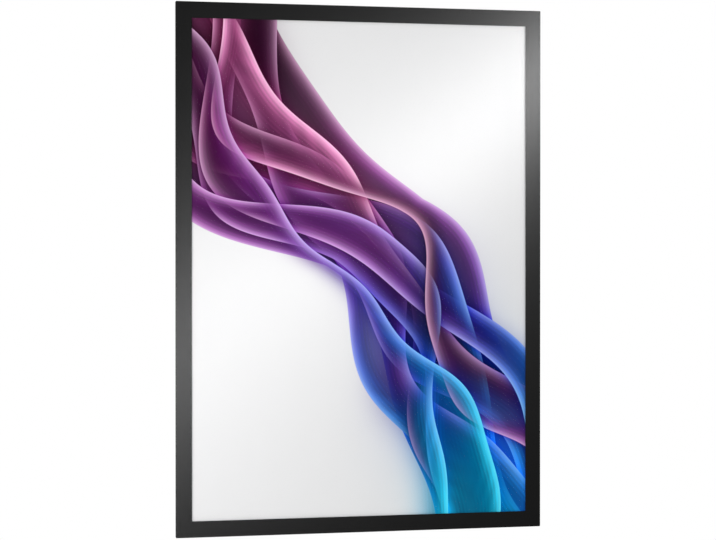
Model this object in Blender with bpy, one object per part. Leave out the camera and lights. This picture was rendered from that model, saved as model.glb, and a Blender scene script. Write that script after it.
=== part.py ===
"""Self-adhesive poster frame for one upright A1 sheet, closed and stuck to a wall.

Metres, +Z up. The front faces -Y and the wall is the plane y = 0, so every depth below is counted
from the wall towards the viewer. The origin is the centre of the frame's outline, on the wall.

The frame is a sandwich of die-cut films and flexible magnet strips. A clear back sheet carries the
adhesive strips behind and a ring of magnet strips in front, and the poster lies on it inside that
ring. The front panel is a clear window film with a black band laminated round it and a second ring
of magnet strips behind. One folded film joins both panels along the left edge, so that the front
opens like a page.
"""

import math

import bmesh
import bpy
from mathutils import Matrix, Vector

# The sheet that the frame holds: A1, upright
POSTER_WIDTH = 0.594
POSTER_HEIGHT = 0.841
POSTER_THICKNESS = 0.00025

# The black band: its width, and how much of the sheet's edge it hides
BAND_WIDTH = 0.027
BAND_OVERLAP = 0.005
BAND_THICKNESS = 0.00035
OUTER_CORNER_RADIUS = 0.0015
WINDOW_CORNER_RADIUS = 0.0006

# Clear films. Both stop short of the outline, which leaves a lip to lift the front by
WINDOW_FILM_THICKNESS = 0.00025
BACK_SHEET_THICKNESS = 0.0003
FILM_SETBACK = 0.0008
LIFTING_LIP = 0.0015
SHEET_CORNER_RADIUS = 0.001

# Flexible magnet strips, in two rings that meet face to face
BACK_MAGNET_THICKNESS = 0.0009
FRONT_MAGNET_THICKNESS = 0.0007
MAGNET_SETBACK = 0.002
MAGNET_JOINT = 0.0005
POSTER_CLEARANCE = 0.0015

# Removable double-sided strips on the back
ADHESIVE_THICKNESS = 0.0005
ADHESIVE_WIDTH = 0.012
ADHESIVE_SETBACK = 0.005
ADHESIVE_JOINT = 0.008
ADHESIVE_CORNER_RADIUS = 0.002

# The folded film along the left edge
HINGE_FILM_THICKNESS = 0.00025
HINGE_LEAF_WIDTH = 0.012
HINGE_BEND_RADIUS = 0.0007
HINGE_TO_FILM = 0.0005

# Room between layers that lie on each other, and between the two rings of magnets
SEAT_GAP = 0.0003
CLOSING_GAP = 0.0003

CORNER_STEPS = 6

# Outline and window, worked out from the sheet
WINDOW_WIDTH = POSTER_WIDTH - 2 * BAND_OVERLAP
WINDOW_HEIGHT = POSTER_HEIGHT - 2 * BAND_OVERLAP
OUTER_WIDTH = WINDOW_WIDTH + 2 * BAND_WIDTH
OUTER_HEIGHT = WINDOW_HEIGHT + 2 * BAND_WIDTH

# The magnet strips fill the border between their setback and the poster's pocket
MAGNET_WIDTH = BAND_WIDTH - BAND_OVERLAP - MAGNET_SETBACK - POSTER_CLEARANCE


def lay_up(rear, thicknesses):
    """(rear, front) depth of each layer, each one a seat gap in front of the one before."""
    layers = []
    for thickness in thicknesses:
        layers.append((rear, rear + thickness))
        rear += thickness + SEAT_GAP
    return layers


# The folded film shares its layer with the film beside it, so that layer suits the thicker of them
REAR_FILM_LAYER = max(BACK_SHEET_THICKNESS, HINGE_FILM_THICKNESS)
FRONT_FILM_LAYER = max(WINDOW_FILM_THICKNESS, HINGE_FILM_THICKNESS)
ADHESIVE_DEPTH, REAR_FILM_DEPTH, BACK_MAGNET_DEPTH = lay_up(
    0.0, [ADHESIVE_THICKNESS, REAR_FILM_LAYER, BACK_MAGNET_THICKNESS]
)
CLOSING_PLANE = BACK_MAGNET_DEPTH[1] + CLOSING_GAP / 2
FRONT_MAGNET_DEPTH, FRONT_FILM_DEPTH, BAND_DEPTH = lay_up(
    CLOSING_PLANE + CLOSING_GAP / 2, [FRONT_MAGNET_THICKNESS, FRONT_FILM_LAYER, BAND_THICKNESS]
)
POSTER_REAR = REAR_FILM_DEPTH[1] + SEAT_GAP
POSTER_DEPTH = (POSTER_REAR, POSTER_REAR + POSTER_THICKNESS)


def finish(name, colour, roughness, alpha=1.0):
    """A Principled material of one colour."""
    material = bpy.data.materials.new(name)
    material.use_nodes = True
    shader = material.node_tree.nodes["Principled BSDF"]
    shader.inputs["Base Color"].default_value = (*colour, 1.0)
    shader.inputs["Roughness"].default_value = roughness
    shader.inputs["Metallic"].default_value = 0.0
    shader.inputs["Alpha"].default_value = alpha
    material.diffuse_color = (*colour, alpha)
    return material


def panel(name, pivot):
    """An empty that carries one side of the frame. The front's stands on the hinge axis."""
    empty = bpy.data.objects.new(name, None)
    empty.location = pivot
    parts.objects.link(empty)
    return empty


def mount_on(carrier, part, place, material):
    """Puts a part at a place in the frame, on the panel that carries it."""
    part.location = Vector(place) - carrier.location
    part.parent = carrier
    part.data.materials.append(material)
    parts.objects.link(part)
    return part


def arc(centre, radius, start, turn):
    """Points along an arc, with angles in degrees."""
    angles = [math.radians(start + turn * step / CORNER_STEPS) for step in range(CORNER_STEPS + 1)]
    return [(centre[0] + radius * math.cos(a), centre[1] + radius * math.sin(a)) for a in angles]


def rounded_outline(left, right, bottom, top, radius):
    """A rectangle with rounded corners, counterclockwise from its top right corner."""
    corners = [(right, top), (left, top), (left, bottom), (right, bottom)]
    inward = [(-1, -1), (1, -1), (1, 1), (-1, 1)]
    points = []
    for quarter, (corner, way) in enumerate(zip(corners, inward)):
        centre = (corner[0] + way[0] * radius, corner[1] + way[1] * radius)
        points += arc(centre, radius, 90 * quarter, 90)
    return points


def flat_curve(name, outlines, thickness):
    """A filled 2D curve with thickness. An outline inside another one is a hole."""
    curve = bpy.data.curves.new(name, "CURVE")
    curve.dimensions = "2D"
    curve.fill_mode = "BOTH"
    curve.extrude = thickness / 2
    for outline in outlines:
        spline = curve.splines.new("POLY")
        spline.points.add(len(outline) - 1)
        for point, (x, y) in zip(spline.points, outline):
            point.co = (x, y, 0, 1)
        spline.use_cyclic_u = True
    return bpy.data.objects.new(name, curve)


def die_cut(name, carrier, outlines, depth, material):
    """A flat sheet cut to outlines in the wall's plane, between two depths."""
    rear, front = depth
    sheet = flat_curve(name, outlines, front - rear)
    sheet.rotation_euler.x = math.radians(90)
    return mount_on(carrier, sheet, (0, -(rear + front) / 2, 0), material)


def magnet_strip(name, carrier, sides, depth):
    """A length of flexible magnet, cut square from the roll."""
    left, right, bottom, top = sides
    rear, front = depth
    box = bmesh.new()
    size = Matrix.Diagonal((right - left, front - rear, top - bottom, 1))
    bmesh.ops.create_cube(box, size=1, matrix=size)
    mesh = bpy.data.meshes.new(name)
    box.to_mesh(mesh)
    box.free()
    centre = ((left + right) / 2, -(rear + front) / 2, (bottom + top) / 2)
    return mount_on(carrier, bpy.data.objects.new(name, mesh), centre, magnet_rubber)


def four_sides(setback, width, joint):
    """Strips round the border as {side: (left, right, bottom, top)}. The upright ones run the whole
    height, and the other two butt between them."""
    x = OUTER_WIDTH / 2 - setback
    z = OUTER_HEIGHT / 2 - setback
    reach = x - width - joint
    return {
        "left": (-x, width - x, -z, z),
        "right": (x - width, x, -z, z),
        "top": (-reach, reach, z - width, z),
        "bottom": (-reach, reach, -z, width - z),
    }


def folded_film_profile():
    """Section across the hinge film: two leaves and the web that joins them round two bends, seen
    from above, with the viewer's side at the bottom."""
    leaf_end = HINGE_LEAF_WIDTH - OUTER_WIDTH / 2
    front, rear = FRONT_FILM_DEPTH[1], REAR_FILM_DEPTH[0]
    bend = max(HINGE_BEND_RADIUS, 1.5 * HINGE_FILM_THICKNESS)
    faces = []
    for inset in (0, HINGE_FILM_THICKNESS):
        radius = bend - inset
        middle = bend - OUTER_WIDTH / 2
        face = [(leaf_end, inset - front)]
        face += reversed(arc((middle, bend - front), radius, 180, 90))
        face += reversed(arc((middle, -bend - rear), radius, 90, 90))
        face += [(leaf_end, -inset - rear)]
        faces.append(face)
    outer, inner = faces
    return outer + inner[::-1]


# Start from an empty scene, with one collection for the frame
for old in list(bpy.data.objects):
    bpy.data.objects.remove(old, do_unlink=True)
parts = bpy.data.collections.new("poster_frame")
bpy.context.scene.collection.children.link(parts)

black_film = finish("black_film", (0.012, 0.012, 0.013), 0.35)
clear_film = finish("clear_film", (0.93, 0.95, 0.96), 0.08, alpha=0.12)
carrier_film = finish("carrier_film", (0.9, 0.92, 0.93), 0.25, alpha=0.3)
magnet_rubber = finish("magnet_rubber", (0.028, 0.026, 0.025), 0.75)
hinge_vinyl = finish("hinge_vinyl", (0.016, 0.016, 0.017), 0.5)
tape_foam = finish("tape_foam", (0.82, 0.82, 0.8), 0.7)
poster_paper = finish("poster_paper", (0.88, 0.88, 0.89), 0.6)

back_panel = panel("back_panel", (0, 0, 0))
front_panel = panel("front_panel", (-OUTER_WIDTH / 2, -CLOSING_PLANE, 0))

# Adhesive strips. Their rear faces lie on the wall
for side, (left, right, bottom, top) in four_sides(
    ADHESIVE_SETBACK, ADHESIVE_WIDTH, ADHESIVE_JOINT
).items():
    outline = rounded_outline(left, right, bottom, top, ADHESIVE_CORNER_RADIUS)
    die_cut(f"adhesive_{side}", back_panel, [outline], ADHESIVE_DEPTH, tape_foam)

# Both clear sheets begin beside the hinge film's leaves and reach the other three edges
sheet_left = HINGE_LEAF_WIDTH + HINGE_TO_FILM - OUTER_WIDTH / 2


def clear_sheet(name, carrier, setback, rear, thickness, material):
    """A clear sheet from the hinge film's leaf to a setback inside the other edges."""
    right = OUTER_WIDTH / 2 - setback
    top = OUTER_HEIGHT / 2 - setback
    outline = rounded_outline(sheet_left, right, -top, top, SHEET_CORNER_RADIUS)
    die_cut(name, carrier, [outline], (rear, rear + thickness), material)


clear_sheet(
    "back_sheet", back_panel, LIFTING_LIP, REAR_FILM_DEPTH[0], BACK_SHEET_THICKNESS, carrier_film
)
clear_sheet(
    "window_film", front_panel, FILM_SETBACK, FRONT_FILM_DEPTH[0], WINDOW_FILM_THICKNESS, clear_film
)

# Magnet strips: the same ring of four on each panel, so that they meet all round
for side, sides in four_sides(MAGNET_SETBACK, MAGNET_WIDTH, MAGNET_JOINT).items():
    magnet_strip(f"back_magnet_{side}", back_panel, sides, BACK_MAGNET_DEPTH)
    magnet_strip(f"front_magnet_{side}", front_panel, sides, FRONT_MAGNET_DEPTH)

# The poster lies on the back sheet, inside the ring of back magnets
sheet_edge = (-POSTER_WIDTH / 2, POSTER_WIDTH / 2, -POSTER_HEIGHT / 2, POSTER_HEIGHT / 2)
left, right, bottom, top = sheet_edge
poster_outline = [(right, top), (left, top), (left, bottom), (right, bottom)]
die_cut("poster_insert", back_panel, [poster_outline], POSTER_DEPTH, poster_paper)

# The black band, punched in one piece round the window
outer_edge = rounded_outline(
    -OUTER_WIDTH / 2, OUTER_WIDTH / 2, -OUTER_HEIGHT / 2, OUTER_HEIGHT / 2, OUTER_CORNER_RADIUS
)
window_edge = rounded_outline(
    -WINDOW_WIDTH / 2, WINDOW_WIDTH / 2, -WINDOW_HEIGHT / 2, WINDOW_HEIGHT / 2, WINDOW_CORNER_RADIUS
)
die_cut("front_band", front_panel, [outer_edge, window_edge], BAND_DEPTH, black_film)

# The hinge film runs up the left edge, between the lifting lips at both ends
hinge_length = OUTER_HEIGHT - 2 * LIFTING_LIP
hinge_film = flat_curve("hinge_film", [folded_film_profile()], hinge_length)
mount_on(back_panel, hinge_film, (0, 0, 0), hinge_vinyl)
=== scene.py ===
"""Self-adhesive poster frame: the finishes, the folded hinge film, the print and the studio."""
import math

import bmesh
import bpy
from mathutils import Matrix, Vector


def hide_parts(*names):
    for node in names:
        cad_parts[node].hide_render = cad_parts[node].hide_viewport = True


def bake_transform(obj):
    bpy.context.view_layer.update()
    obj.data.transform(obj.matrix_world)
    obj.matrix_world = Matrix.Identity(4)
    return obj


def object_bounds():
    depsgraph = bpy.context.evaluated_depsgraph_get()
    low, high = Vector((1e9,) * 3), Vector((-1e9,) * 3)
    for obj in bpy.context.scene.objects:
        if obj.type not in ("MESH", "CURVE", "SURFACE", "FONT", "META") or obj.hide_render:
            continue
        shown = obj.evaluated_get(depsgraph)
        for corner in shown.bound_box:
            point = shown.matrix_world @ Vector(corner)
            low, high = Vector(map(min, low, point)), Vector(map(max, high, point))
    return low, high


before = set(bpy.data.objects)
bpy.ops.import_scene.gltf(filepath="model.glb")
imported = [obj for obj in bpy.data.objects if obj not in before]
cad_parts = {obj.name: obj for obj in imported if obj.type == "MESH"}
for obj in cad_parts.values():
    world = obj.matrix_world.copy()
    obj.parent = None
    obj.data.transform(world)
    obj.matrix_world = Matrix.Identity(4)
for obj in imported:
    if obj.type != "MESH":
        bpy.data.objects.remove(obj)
cad_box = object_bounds()

# Adhesive strips: removable double-sided tape of white closed-cell foam, die-cut with rounded ends
# and pressed onto the rear of the carrier sheet. A thin clear layer of adhesive makes the wall side
# slightly shiny.
FOAM_WHITE = (0.83, 0.83, 0.81)
# The darker colour is painted shade in the pits of the foam cells, and it also carries a random mottle
# of tone
FOAM_PIT_SHADE = (0.62, 0.62, 0.60)
FOAM_CELLS_PER_METRE = 620
FOAM_CLOUDS_PER_METRE = 45
CELL_SHADE, CLOUD_SHADE = 0.35, 0.25
CELL_DEPTH = 0.0002


class Wire:
    """A socket in a finish's node tree. Arithmetic on wires lays Math nodes."""

    def __init__(self, tree, socket=None):
        self.tree = tree
        self.socket = socket

    def node(self, kind, settings=None, sockets=None, result=0):
        """Lays one node: its settings first, then the values or wires of its sockets."""
        made = self.tree.nodes.new(kind)
        for name, value in (settings or {}).items():
            if name == "stops":
                first, last = made.color_ramp.elements
                first.position, first.color = value[0][0], (*value[0][1], 1)
                last.position, last.color = value[-1][0], (*value[-1][1], 1)
                for place, colour in value[1:-1]:
                    made.color_ramp.elements.new(place).color = (*colour, 1)
            else:
                setattr(made, name, value)
        for name, value in (sockets or {}).items():
            socket = made.inputs[name]
            if isinstance(value, Wire):
                self.tree.links.new(value.socket, socket)
            else:
                socket.default_value = (*value, 1) if socket.type == "RGBA" else value
        return Wire(self.tree, made.outputs[result] if made.outputs else None)

    def maths(self, operation, *values):
        return self.node("ShaderNodeMath", {"operation": operation}, dict(enumerate(values)))

    def __add__(self, other):
        return self.maths("ADD", self, other)

    def __sub__(self, other):
        return self.maths("SUBTRACT", self, other)

    def __rsub__(self, other):
        return self.maths("SUBTRACT", other, self)

    def __mul__(self, other):
        return self.maths("MULTIPLY", self, other)

    def __truediv__(self, other):
        return self.maths("DIVIDE", self, other)

    __radd__ = __add__
    __rmul__ = __mul__

    def also(self, result):
        """Another output of the same node."""
        return Wire(self.tree, self.socket.node.outputs[result])

    def mix(self, colour, other, share, how="MIX"):
        """A colour with a share of another one laid over it."""
        settings = {"data_type": "RGBA", "blend_type": how}
        return self.node("ShaderNodeMix", settings, {0: share, 6: colour, 7: other}, 2)

    def noise(self, per_metre, detail):
        """Soft noise over the surface whose place this wire gives."""
        sockets = {"Vector": self, "Scale": per_metre, "Detail": detail}
        return self.node("ShaderNodeTexNoise", sockets=sockets)

    def relief(self, height, strength, distance):
        """A normal that stands up where the height is greater."""
        sockets = {"Strength": strength, "Distance": distance, "Height": height}
        return self.node("ShaderNodeBump", sockets=sockets)


def new_finish(name):
    """A material with an empty node tree, and the wire to lay its nodes with."""
    material = bpy.data.materials.new(name)
    material.use_nodes = True
    material.node_tree.nodes.clear()
    return material, Wire(material.node_tree)


def coat(wire, shader):
    """Ends a finish with its shader."""
    wire.node("ShaderNodeOutputMaterial", sockets={"Surface": shader})


def dress(material, *names):
    """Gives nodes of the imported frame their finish."""
    for name in names:
        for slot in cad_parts[name].material_slots:
            slot.material = material


foam_tape, foam = new_finish("white_foam_tape")
place = foam.node("ShaderNodeTexCoord", result="Object")
cells = foam.node("ShaderNodeTexVoronoi", sockets={"Vector": place, "Scale": FOAM_CELLS_PER_METRE})
clouds = place.noise(FOAM_CLOUDS_PER_METRE, detail=3)
# Painted shade darkens the pits at the foam cells' centres, and a random mottle of tone is added over
# it
pit_shade_and_mottle = (1 - cells) * CELL_SHADE + clouds * CLOUD_SHADE
coat(foam, foam.node("ShaderNodeBsdfPrincipled", sockets={
    "Base Color": foam.mix(FOAM_WHITE, FOAM_PIT_SHADE, pit_shade_and_mottle),
    "Roughness": 0.62,
    "Specular IOR Level": 0.3,
    "Coat Weight": 0.18,
    "Coat Roughness": 0.3,
    "Normal": foam.relief(cells, strength=0.35, distance=CELL_DEPTH),
}))
dress(foam_tape, "adhesive_top", "adhesive_bottom", "adhesive_left", "adhesive_right")

# Back sheet: the clear carrier of the whole frame, a stiff film cut from the roll with rounded
# corners. The adhesive strips are stuck behind it and the rear magnets in front, and it is hazy
# enough to look slightly milky over them, in streaks drawn out along the roll.
CARRIER_TINT = (0.90, 0.93, 0.94)
CARRIER_CLEAR = (0.985, 0.99, 0.992)
CARRIER_IOR = 1.42
CARRIER_STREAKS_PER_METRE = 70
ALONG_THE_ROLL = (1, 1, 0.12)
HAZE, STREAK_HAZE = 0.022, 0.026

carrier_film, carrier = new_finish("clear_carrier_film")
place = carrier.node("ShaderNodeTexCoord", result="Object")
drawn = carrier.node("ShaderNodeMapping", sockets={"Vector": place, "Scale": ALONG_THE_ROLL})
streaks = drawn.noise(CARRIER_STREAKS_PER_METRE, detail=4)
outside = 1 - carrier.node("ShaderNodeNewGeometry", result="Backfacing")
shine = carrier.node("ShaderNodeFresnel", sockets={"IOR": CARRIER_IOR}) * outside
see_through = carrier.node("ShaderNodeBsdfTransparent", sockets={"Color": CARRIER_CLEAR})
milk = carrier.node("ShaderNodeBsdfPrincipled", sockets={
    "Base Color": CARRIER_TINT,
    "Roughness": 0.5,
    "Specular IOR Level": 0,
})
gloss = carrier.node("ShaderNodeBsdfPrincipled", sockets={
    "Base Color": (1, 1, 1),
    "Metallic": 1,
    "Roughness": 0.15 + 0.05 * streaks,
})
haze = HAZE + STREAK_HAZE * streaks
hazy = carrier.node("ShaderNodeMixShader", sockets={0: haze, 1: see_through, 2: milk})
coat(carrier, carrier.node("ShaderNodeMixShader", sockets={0: shine, 1: hazy, 2: gloss}))
dress(carrier_film, "back_sheet")

# Magnet strips: flexible magnet, ferrite powder bound in black rubber and extruded in a flat strip.
# Each panel has a ring of four, cut square from the roll and glued down, and the rings hold each
# other when the frame is shut. Extrusion leaves faint lines along a strip and the powder a speckle.
RUBBER_BLACK = (0.020, 0.019, 0.018)
RUBBER_DUST = (0.060, 0.056, 0.052)
EXTRUSION_LINE_PITCH = 0.0046
POWDER_SPECKS_PER_METRE = 900
SCUFFS_PER_METRE = 380
SCUFF_STRETCH = 0.03
SPECK_DUST, SCUFF_DUST, LINE_DUST, WIPED_OFF = 0.55, 0.50, 0.06, 0.28
SPECK_RELIEF, SCUFF_RELIEF, LINE_RELIEF = 0.4, 0.8, 0.5
GRAIN_DEPTH = 0.0001


def flexible_magnet(name, across):
    """The finish of strips whose extrusion lines follow each other across one axis."""
    material, rubber = new_finish(name)
    place = rubber.node("ShaderNodeTexCoord", result="Object")
    from_edge = rubber.node("ShaderNodeSeparateXYZ", sockets={"Vector": place}, result=across)
    lines = rubber.maths("SINE", from_edge * (2 * math.pi / EXTRUSION_LINE_PITCH))
    specks = place.noise(POWDER_SPECKS_PER_METRE, detail=2)
    lengthwise = {"X": (1, 1, SCUFF_STRETCH), "Z": (SCUFF_STRETCH, 1, 1)}[across]
    drawn = rubber.node("ShaderNodeMapping", sockets={"Vector": place, "Scale": lengthwise})
    scuffs = drawn.noise(SCUFFS_PER_METRE, detail=4)
    dust = SPECK_DUST * specks + SCUFF_DUST * scuffs + LINE_DUST * lines - WIPED_OFF
    dust = rubber.node("ShaderNodeClamp", sockets={"Value": dust})
    height = LINE_RELIEF * lines + SCUFF_RELIEF * scuffs + SPECK_RELIEF * specks
    coat(rubber, rubber.node("ShaderNodeBsdfPrincipled", sockets={
        "Base Color": rubber.mix(RUBBER_BLACK, RUBBER_DUST, dust),
        "Roughness": 0.62 + 0.14 * scuffs,
        "Specular IOR Level": 0.3,
        "Normal": rubber.relief(height, strength=0.25, distance=GRAIN_DEPTH),
    }))
    return material


upright_magnet = flexible_magnet("magnet_rubber_upright", "X")
crosswise_magnet = flexible_magnet("magnet_rubber_crosswise", "Z")
for ring in ("back_magnet", "front_magnet"):
    dress(upright_magnet, f"{ring}_left", f"{ring}_right")
    dress(crosswise_magnet, f"{ring}_top", f"{ring}_bottom")

# Poster insert: a sheet of coated paper, offset printed on the front and white behind. The print is
# a bundle of silk folds that sweeps from the upper left to the lower right over white paper, plum
# and violet above, blue and cyan below.
PAPER_WHITE = (0.863, 0.863, 0.868)
PAPER_EVENNESS, FIBRE_SHADE, MOTTLE_SHADE = 0.985, 0.016, 0.014
FIBRES_PER_METRE, MOTTLES_PER_METRE = 500, 24
FIBRE_DEPTH = 0.0001
PAPER_ROUGHNESS, FIBRE_ROUGHNESS = 0.25, 0.012
INK_SHEEN = 0.0084
SHEET_MIDDLE = -0.0015

# The bundle runs along one slanting line, which meanders, and it is narrowest near its middle
SWEEP = (0.550, -0.835)
CROSS = (0.835, 0.550)
MEANDERS = [(0.050, 6.2, 0.6), (0.018, 13.0, 2.0)]
WAIST, WAIST_PLACE, FLARE = 0.72, -0.04, 0.95

# Across a fold, from its edge: the edge itself, a light rim, a sheen, creases and a dark hollow
FOLD_EDGE = 0.0014
RIM_WIDTH, RIM_GLOW = 0.0070, 0.86
SHEEN_WIDTH, SHEEN = 0.012, 2.15
CLOTH_LEVEL, HOLLOW, OPACITY = 0.54, 0.44, 0.97
WIDE_CREASE, NARROW_CREASE, THREAD = 0.0190, 0.0115, 0.0060
CREASE_WAVE, CREASE_SLANT, NARROW_SLANT = 2.6, 9.0, 1.7
CREASE_DEPTH, THREAD_SHARE = 0.35, 0.4
CREASE_START, CREASE_END = 0.008, 0.050

# What lies beneath a fold is shaded beside its edge and stained where it shines through
SHADOW_WIDTH, SHADOW, STAIN = 0.015, 0.85, 0.70
SHADE_TINT, SHADE_BLACK = (1.8, 1.8, 1.8), (0.03, 0.03, 0.03)

# Colours by place along the cloth, which also change a little from a fold's edge inwards
CLOTH_START, CLOTH_MIDDLE, CLOTH_END = -0.30, 0.50, 1.00
COLOUR_DRIFT = 0.6
CLOTH_COLOURS = [
    (-0.30, (0.640, 0.120, 0.385)),
    (-0.12, (0.190, 0.011, 0.108)),
    (0.06, (0.066, 0.006, 0.040)),
    (0.20, (0.112, 0.008, 0.085)),
    (0.32, (0.215, 0.009, 0.225)),
    (0.48, (0.200, 0.011, 0.270)),
    (0.60, (0.130, 0.012, 0.330)),
    (0.69, (0.029, 0.020, 0.405)),
    (0.79, (0.001, 0.112, 0.610)),
    (0.88, (0.000, 0.280, 0.740)),
    (1.00, (0.000, 0.535, 0.820)),
]
RIM_COLOURS = [
    (-0.30, (1.00, 0.76, 0.89)),
    (0.00, (0.86, 0.50, 0.72)),
    (0.40, (0.83, 0.58, 0.90)),
    (0.70, (0.46, 0.55, 0.96)),
    (1.00, (0.18, 0.82, 0.95)),
]

# Each fold in the order of printing: offset from the middle of the bundle, side that it lies on,
# swing, waves and phase, ripple, waves and phase, depth of the fold, and shift of its colours
FOLDS = [
    (-0.130, 1, 0.030, 6.0, 0.4, 0.012, 15.0, 1.0, 0.150, 0.05),
    (0.135, -1, 0.032, 5.2, 2.2, 0.014, 17.0, 0.3, 0.150, -0.06),
    (-0.095, 1, 0.045, 7.5, 3.6, 0.010, 19.0, 2.1, 0.080, 0.10),
    (0.090, -1, 0.050, 8.1, 5.1, 0.012, 16.0, 4.0, 0.080, 0.02),
    (-0.060, 1, 0.060, 6.6, 1.9, 0.014, 21.0, 5.2, 0.065, -0.72),
    (0.060, -1, 0.055, 9.0, 0.9, 0.012, 18.0, 2.6, 0.070, 0.12),
    (-0.020, 1, 0.070, 7.0, 4.4, 0.012, 20.0, 1.3, 0.060, 0.00),
    (0.020, -1, 0.065, 8.4, 2.9, 0.010, 23.0, 0.2, 0.060, -0.10),
    (-0.080, 1, 0.040, 10.0, 0.0, 0.010, 24.0, 3.3, 0.045, 0.07),
    (0.075, -1, 0.045, 9.4, 3.9, 0.008, 22.0, 5.5, 0.050, -0.60),
    (0.000, 1, 0.080, 6.0, 5.8, 0.012, 17.0, 2.9, 0.045, -0.04),
    (-0.030, -1, 0.075, 7.8, 1.2, 0.010, 26.0, 4.6, 0.045, 0.09),
    (0.035, 1, 0.050, 11.0, 2.0, 0.008, 29.0, 1.7, 0.030, -0.50),
    (-0.030, -1, 0.048, 8.8, 4.9, 0.009, 27.0, 0.8, 0.032, 0.14),
]
FOLD_VALUES = (
    "Offset", "Side", "Swing", "Waves", "Phase", "Ripple", "Ripples", "Ripple Phase", "Depth", "Shift"
)


def on_cloth_scale(stops):
    """Stops given by place along the cloth, as a ramp from 0 to 1 takes them."""
    return [((spot - CLOTH_START) / (CLOTH_END - CLOTH_START), colour) for spot, colour in stops]


def fading(distance, length):
    """Falls from one at no distance to about a third over a length."""
    return distance.maths("EXPONENT", distance / -length)


# One fold, laid over what is printed already
silk_fold = bpy.data.node_groups.new("silk_fold", "ShaderNodeTree")
for name in ("Along", "Across", "Spread", "Bare", *FOLD_VALUES):
    silk_fold.interface.new_socket(name, in_out="INPUT", socket_type="NodeSocketFloat")
silk_fold.interface.new_socket("Print", in_out="INPUT", socket_type="NodeSocketColor")
silk_fold.interface.new_socket("Print", in_out="OUTPUT", socket_type="NodeSocketColor")
silk_fold.interface.new_socket("Bare", in_out="OUTPUT", socket_type="NodeSocketFloat")
fold = Wire(silk_fold)
along = fold.node("NodeGroupInput", result="Along")
bare, spread = along.also("Bare"), along.also("Spread")

# How far a place is from the fold's edge, inwards where it is above nought
swing = along.also("Swing") * fold.maths("SINE", along.also("Waves") * along + along.also("Phase"))
ripple = fold.maths("SINE", along.also("Ripples") * along + along.also("Ripple Phase"))
edge = along.also("Offset") * spread + swing
reach = (along.also("Across") - edge - along.also("Ripple") * ripple) * along.also("Side")
under = fold.maths("MAXIMUM", reach, 0)
inside = fold.node(
    "ShaderNodeMapRange", {"interpolation_type": "SMOOTHSTEP"}, {"Value": reach, "From Max": FOLD_EDGE}
)
deep = along.also("Depth") * spread
fade = fold.maths("EXPONENT", -1 * fold.maths("POWER", under / deep, 2))

# The cloth's own colour and that of its rim
tone = along + along.also("Shift") + COLOUR_DRIFT * under + (CLOTH_MIDDLE - CLOTH_START)
tone = tone / (CLOTH_END - CLOTH_START)
cloth = fold.node("ShaderNodeValToRGB", {"stops": on_cloth_scale(CLOTH_COLOURS)}, {0: tone})
rim = fold.node("ShaderNodeValToRGB", {"stops": on_cloth_scale(RIM_COLOURS)}, {0: tone})

# What lies beneath it
beside = fold.maths("EXPONENT", fold.maths("MINIMUM", reach, 0) / SHADOW_WIDTH)
shade = SHADOW * beside * (1 - inside) * (1 - bare) + STAIN * inside * fade
deepened = {0: cloth, 1: SHADE_TINT, 2: SHADE_BLACK}
dark = fold.node("ShaderNodeVectorMath", {"operation": "MULTIPLY_ADD"}, deepened)
beneath = fold.mix(along.also("Print"), dark, shade, "MULTIPLY")

# Its creases, its light and its rim
slant = CREASE_WAVE * ripple + CREASE_SLANT * along
wide, narrow, thread = (reach * (2 * math.pi / pitch) for pitch in (WIDE_CREASE, NARROW_CREASE, THREAD))
creases = fold.maths("SINE", wide + slant) * fold.maths("SINE", narrow - NARROW_SLANT * slant)
creases = creases + THREAD_SHARE * fold.maths("SINE", thread)
creases = creases * fading(under, CREASE_END) * (1 - fading(under, CREASE_START))
sheen = CLOTH_LEVEL + SHEEN * fading(under, SHEEN_WIDTH) - HOLLOW * fade
light = sheen * (1 + CREASE_DEPTH * creases)
lit = fold.node("ShaderNodeVectorMath", {"operation": "SCALE"}, {0: cloth, "Scale": light})
glow = RIM_GLOW * inside * fading(under, RIM_WIDTH)
ply = OPACITY * inside * fade
laid = {"Print": fold.mix(beneath, fold.mix(lit, rim, glow), ply), "Bare": bare * (1 - ply)}
fold.node("NodeGroupOutput", sockets=laid)

poster_print, ink = new_finish("silk_print_on_coated_paper")
place = ink.node("ShaderNodeTexCoord", result="Object")
x = ink.node("ShaderNodeSeparateXYZ", sockets={"Vector": place}, result="X")
y, z = x.also("Y"), x.also("Z")
along = SWEEP[0] * x + SWEEP[1] * z
across = CROSS[0] * x + CROSS[1] * z
for width, waves, phase in MEANDERS:
    across = across - width * ink.maths("SINE", waves * along + phase)
spread = WAIST + FLARE * ink.maths("ABSOLUTE", along - WAIST_PLACE)
picture, bare = PAPER_WHITE, 1
for values in FOLDS:
    sockets = {"Along": along, "Across": across, "Spread": spread, "Print": picture, "Bare": bare}
    sockets.update(zip(FOLD_VALUES, values))
    picture = ink.node("ShaderNodeGroup", {"node_tree": silk_fold}, sockets, "Print")
    bare = picture.also("Bare")

# The printed face looks at the viewer, the rear one is bare, and paper is never quite even
printed = ink.maths("LESS_THAN", y, SHEET_MIDDLE)
fibres = place.noise(FIBRES_PER_METRE, detail=3)
mottle = place.noise(MOTTLES_PER_METRE, detail=2)
evenness = PAPER_EVENNESS + FIBRE_SHADE * fibres + MOTTLE_SHADE * mottle
faces = {0: ink.mix(PAPER_WHITE, picture, printed), "Scale": evenness}
coat(ink, ink.node("ShaderNodeBsdfPrincipled", sockets={
    "Base Color": ink.node("ShaderNodeVectorMath", {"operation": "SCALE"}, faces),
    "Metallic": INK_SHEEN,
    "Roughness": PAPER_ROUGHNESS + FIBRE_ROUGHNESS * (fibres - 0.5),
    "Specular IOR Level": 0,
    "Normal": ink.relief(fibres, strength=0.06, distance=FIBRE_DEPTH),
}))
dress(poster_print, "poster_insert")
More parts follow.
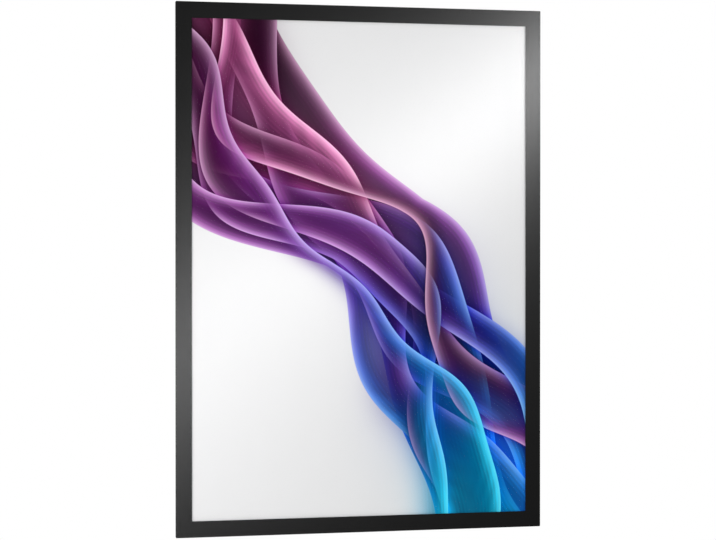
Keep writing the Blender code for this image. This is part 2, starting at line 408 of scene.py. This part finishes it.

# Hinge film: one length of thin black vinyl, folded lengthwise round the left edge and welded to
# both panels, so that the front opens like a page. Its leaves have rounded corners, and a fine
# leather grain is rolled into it.
HINGE_LENGTH = 0.882
HINGE_LEFT, HINGE_LEAF_END = -0.319, -0.307
HINGE_FRONT, HINGE_REAR = -0.00385, -0.00080
VINYL_THICKNESS = 0.00025
FOLD_RADIUS = 0.0007
LEAF_CORNER_RADIUS = 0.0025
FOLD_STEPS, WEB_STEPS, CORNER_STEPS = 10, 16, 8
CUT_EDGE_ANGLE = math.radians(40)
VINYL_BLACK = (0.010, 0.010, 0.011)
VINYL_WORN = (0.040, 0.040, 0.042)
PORES_PER_METRE, PATCHES_PER_METRE = 700, 60
PORE_DEPTH = 0.0001
WORN_WIDTH = 0.0006
WEB_WEAR, WEB_PATCH_WEAR, PATCH_WEAR = 0.25, 0.35, 0.12


def hinge_section(leaf_end, inset):
    """One face of the folded film from the front leaf's end to the rear one's, seen from above."""
    radius = FOLD_RADIUS - inset
    middle = HINGE_LEFT + FOLD_RADIUS
    front_fold, rear_fold = HINGE_FRONT + FOLD_RADIUS, HINGE_REAR - FOLD_RADIUS
    points = [(leaf_end, HINGE_FRONT + inset)]
    for step in range(FOLD_STEPS + 1):
        turn = math.radians(90 * step / FOLD_STEPS)
        points.append((middle - radius * math.sin(turn), front_fold - radius * math.cos(turn)))
    for step in range(1, WEB_STEPS):
        points.append((middle - radius, front_fold + (rear_fold - front_fold) * step / WEB_STEPS))
    for step in range(FOLD_STEPS + 1):
        turn = math.radians(90 * step / FOLD_STEPS)
        points.append((middle - radius * math.cos(turn), rear_fold + radius * math.sin(turn)))
    points.append((leaf_end, HINGE_REAR - inset))
    return points


# The leaves shorten towards the film's ends, round their corners
upper_corner = []
for step in range(CORNER_STEPS + 1):
    turn = math.radians(90 * step / CORNER_STEPS)
    height = HINGE_LENGTH / 2 - LEAF_CORNER_RADIUS * (1 - math.sin(turn))
    upper_corner.append((height, HINGE_LEAF_END - LEAF_CORNER_RADIUS * (1 - math.cos(turn))))
lower_corner = [(-height, leaf_end) for height, leaf_end in reversed(upper_corner)]
folded = bmesh.new()
loops = []
for height, leaf_end in lower_corner + upper_corner:
    section = hinge_section(leaf_end, 0) + hinge_section(leaf_end, VINYL_THICKNESS)[::-1]
    loops.append([folded.verts.new((px, py, height)) for px, py in section])
for lower, upper in zip(loops, loops[1:]):
    for k in range(len(lower)):
        after = (k + 1) % len(lower)
        folded.faces.new((lower[k], lower[after], upper[after], upper[k]))
half = len(loops[0]) // 2
for loop in (loops[0], loops[-1]):
    for k in range(half - 1):
        folded.faces.new((loop[k], loop[k + 1], loop[-k - 2], loop[-k - 1]))
bmesh.ops.recalc_face_normals(folded, faces=folded.faces)
hinge_mesh = bpy.data.meshes.new("folded_hinge")
folded.to_mesh(hinge_mesh)
folded.free()
hinge_mesh.shade_smooth()
hinge_mesh.set_sharp_from_angle(angle=CUT_EDGE_ANGLE)
folded_hinge = bpy.data.objects.new("folded_hinge", hinge_mesh)
bpy.context.scene.collection.objects.link(folded_hinge)

# The vinyl greys where the web is creased
black_vinyl, vinyl = new_finish("grained_black_vinyl")
place = vinyl.node("ShaderNodeTexCoord", result="Object")
pores = vinyl.node("ShaderNodeTexVoronoi", sockets={"Vector": place, "Scale": PORES_PER_METRE})
patches = place.noise(PATCHES_PER_METRE, detail=4)
creased = vinyl.node("ShaderNodeMapRange", sockets={
    "Value": vinyl.node("ShaderNodeSeparateXYZ", sockets={"Vector": place}, result="X"),
    "From Min": HINGE_LEFT + WORN_WIDTH,
    "From Max": HINGE_LEFT,
})
wear = creased * (WEB_WEAR + WEB_PATCH_WEAR * patches) + PATCH_WEAR * patches
coat(vinyl, vinyl.node("ShaderNodeBsdfPrincipled", sockets={
    "Base Color": vinyl.mix(VINYL_BLACK, VINYL_WORN, wear),
    "Roughness": 0.36 + 0.10 * patches,
    "Specular IOR Level": 0.15,
    "Normal": vinyl.relief(pores, strength=0.2, distance=PORE_DEPTH),
}))
hinge_mesh.materials.append(black_vinyl)
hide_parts("hinge_film")
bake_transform(folded_hinge)

# Window film: clear film over the whole poster, with a weak anti-glare finish that spreads what it
# reflects into a soft streak. The black band and the front magnets are laminated to its border.
FILM_IOR = 1.04
FILM_CLEAR = (0.999, 0.999, 0.999)
FILM_ROUGHNESS, RIPPLE_ROUGHNESS = 0.228, 0.006
RIPPLES_PER_METRE = 9

window_clear, film = new_finish("clear_window_film")
ripple = film.node("ShaderNodeTexCoord", result="Object").noise(RIPPLES_PER_METRE, detail=2)
outside = 1 - film.node("ShaderNodeNewGeometry", result="Backfacing")
shine = film.node("ShaderNodeFresnel", sockets={"IOR": FILM_IOR}) * outside
gloss = film.node("ShaderNodeBsdfPrincipled", sockets={
    "Base Color": (1, 1, 1),
    "Metallic": 1,
    "Roughness": FILM_ROUGHNESS + RIPPLE_ROUGHNESS * (ripple - 0.5),
})
see_through = film.node("ShaderNodeBsdfTransparent", sockets={"Color": FILM_CLEAR})
coat(film, film.node("ShaderNodeMixShader", sockets={0: shine, 1: see_through, 2: gloss}))
dress(window_clear, "window_film")

# Front band: black satin film, punched in one piece round the window and laminated to the window
# film's border. Its corners are sharp, and it has no joint. The film is calendered with a very fine
# grain, so that it shines softly.
BAND_BLACK = (0.0022, 0.0022, 0.0023)
BAND_DUSTY = (0.0032, 0.0032, 0.0033)
BAND_ROUGHNESS, CLOUD_ROUGHNESS = 0.228, 0.012
BAND_GLOSS = 0.06
BAND_GRAINS_PER_METRE, BAND_CLOUDS_PER_METRE = 1100, 30
BAND_GRAIN_DEPTH = 0.00005

satin_black, satin = new_finish("black_satin_film")
place = satin.node("ShaderNodeTexCoord", result="Object")
grain = place.noise(BAND_GRAINS_PER_METRE, detail=2)
clouds = place.noise(BAND_CLOUDS_PER_METRE, detail=3)
coat(satin, satin.node("ShaderNodeBsdfPrincipled", sockets={
    "Base Color": satin.mix(BAND_BLACK, BAND_DUSTY, clouds),
    "Roughness": BAND_ROUGHNESS + CLOUD_ROUGHNESS * (clouds - 0.5),
    "Specular IOR Level": BAND_GLOSS,
    "Normal": satin.relief(grain, strength=0.04, distance=BAND_GRAIN_DEPTH),
}))
dress(satin_black, "front_band")

# Studio: a pale floor well below the frame, as under one that hangs on a wall, which fades into the
# white all round. Gloss and glass see the same white that the camera sees.
FLOOR_DROP = 0.82
FLOOR_RADIUS = 6.0
FLOOR_FADE_START, FLOOR_FADE_END = 2.4, 5.2
FLOOR_GREY = (0.80, 0.80, 0.80)
FLOOR_GLOW = 0.45
WHITE = (1, 1, 1)
SURROUND_LIGHT = (0.45, 0.45, 0.45)


def seen_white(wire):
    """White for the camera, gloss and glass, and the plain surround light for all else."""
    seen = wire.node("ShaderNodeLightPath", result="Is Camera Ray")
    seen = seen + seen.also("Is Glossy Ray") + seen.also("Is Transmission Ray")
    return wire.mix(SURROUND_LIGHT, WHITE, wire.node("ShaderNodeClamp", sockets={"Value": seen}))


disc = bmesh.new()
bmesh.ops.create_circle(disc, cap_ends=True, segments=96, radius=FLOOR_RADIUS)
bmesh.ops.translate(disc, verts=disc.verts, vec=(0, 0, cad_box[0].z - FLOOR_DROP))
floor_mesh = bpy.data.meshes.new("studio_floor")
disc.to_mesh(floor_mesh)
disc.free()
studio_floor = bpy.data.objects.new("studio_floor", floor_mesh)
bpy.context.scene.collection.objects.link(studio_floor)
pale_floor, ground = new_finish("pale_floor")
place = ground.node("ShaderNodeNewGeometry", result="Position")
level = ground.node("ShaderNodeVectorMath", {"operation": "MULTIPLY"}, {0: place, 1: (1, 1, 0)})
radius = ground.node("ShaderNodeVectorMath", {"operation": "LENGTH"}, {0: level}, "Value")
far = ground.node("ShaderNodeMapRange", {"interpolation_type": "SMOOTHSTEP"}, {
    "Value": radius,
    "From Min": FLOOR_FADE_START,
    "From Max": FLOOR_FADE_END,
})
matt = ground.node("ShaderNodeBsdfPrincipled", sockets={
    "Base Color": FLOOR_GREY,
    "Roughness": 0.9,
    "Specular IOR Level": 0.1,
})
glowing = ground.node("ShaderNodeEmission", sockets={"Color": seen_white(ground)})
bright = FLOOR_GLOW + (1 - FLOOR_GLOW) * far
coat(ground, ground.node("ShaderNodeMixShader", sockets={0: bright, 1: matt, 2: glowing}))
floor_mesh.materials.append(pale_floor)

surround = bpy.data.worlds.new("white_surround")
surround.use_nodes = True
surround.node_tree.nodes.clear()
sky = Wire(surround.node_tree)
backdrop = sky.node("ShaderNodeBackground", sockets={"Color": seen_white(sky)})
sky.node("ShaderNodeOutputWorld", sockets={"Surface": backdrop})
bpy.context.scene.world = surround


def softbox(name, centre, width, height, power):
    """A rectangular lamp turned to the frame, its width level, and hidden from the camera."""
    lamp = bpy.data.lights.new(name, "AREA")
    lamp.shape = "RECTANGLE"
    lamp.size, lamp.size_y, lamp.energy = width, height, power
    stand = bpy.data.objects.new(name, lamp)
    stand.location = centre
    stand.rotation_euler = (-Vector(centre)).to_track_quat("-Z", "Y").to_euler()
    stand.visible_camera = False
    bpy.context.scene.collection.objects.link(stand)
    return stand


softbox("front_softbox", centre=(-1.60, -1.97, 0.13), width=1.3, height=1.3, power=35.2)
softbox("rear_softbox", centre=(1.60, 2.40, 1.00), width=1.5, height=1.5, power=52)

# A long strip lamp runs from close by the upper right away to the lower left. It only shows as the
# soft streak that crosses the film and the band.
STRIP_NEAR = Vector((1.066, -0.981, 0.683))
STRIP_FAR = Vector((-0.035, -5.751, -1.094))
STRIP_WIDTH = 0.10
STRIP_POWER = 303

run = STRIP_FAR - STRIP_NEAR
strip = softbox("strip_lamp", (STRIP_NEAR + STRIP_FAR) / 2, run.length, STRIP_WIDTH, STRIP_POWER)
lengthwise = run.normalized()
towards = -strip.location.normalized()
face = (towards - towards.dot(lengthwise) * lengthwise).normalized()
strip.rotation_euler = Matrix((lengthwise, (-face).cross(lengthwise), -face)).transposed().to_euler()
strip.visible_diffuse = False

# Camera: a long lens at the height of the frame's middle, to its left. Its steps from the middle of
# the front are in heights of the frame.
CAMERA_YAW = math.radians(16.05)
CAMERA_TILT = math.radians(0.538)
FOCAL_LENGTH, SENSOR_WIDTH = 123.44, 36
FRAME_HEIGHT = 0.885
STEP_BACK, STEP_RIGHT, STEP_UP = 4.6666, 0.0074, 0.0012

right = Vector((math.cos(CAMERA_YAW), -math.sin(CAMERA_YAW), 0))
forward = Vector((
    math.cos(CAMERA_TILT) * math.sin(CAMERA_YAW),
    math.cos(CAMERA_TILT) * math.cos(CAMERA_YAW),
    -math.sin(CAMERA_TILT),
))
up = right.cross(forward)
lens = bpy.data.cameras.new("camera")
lens.lens, lens.sensor_width = FOCAL_LENGTH, SENSOR_WIDTH
camera = bpy.data.objects.new("camera", lens)
front_middle = Vector((0, cad_box[0].y, 0))
steps = STEP_BACK * forward + STEP_RIGHT * right + STEP_UP * up
camera.location = front_middle - FRAME_HEIGHT * steps
camera.rotation_euler = Matrix((right, up, -forward)).transposed().to_euler()
bpy.context.scene.collection.objects.link(camera)
bpy.context.scene.camera = camera
bpy.context.scene.view_settings.view_transform = "Standard"
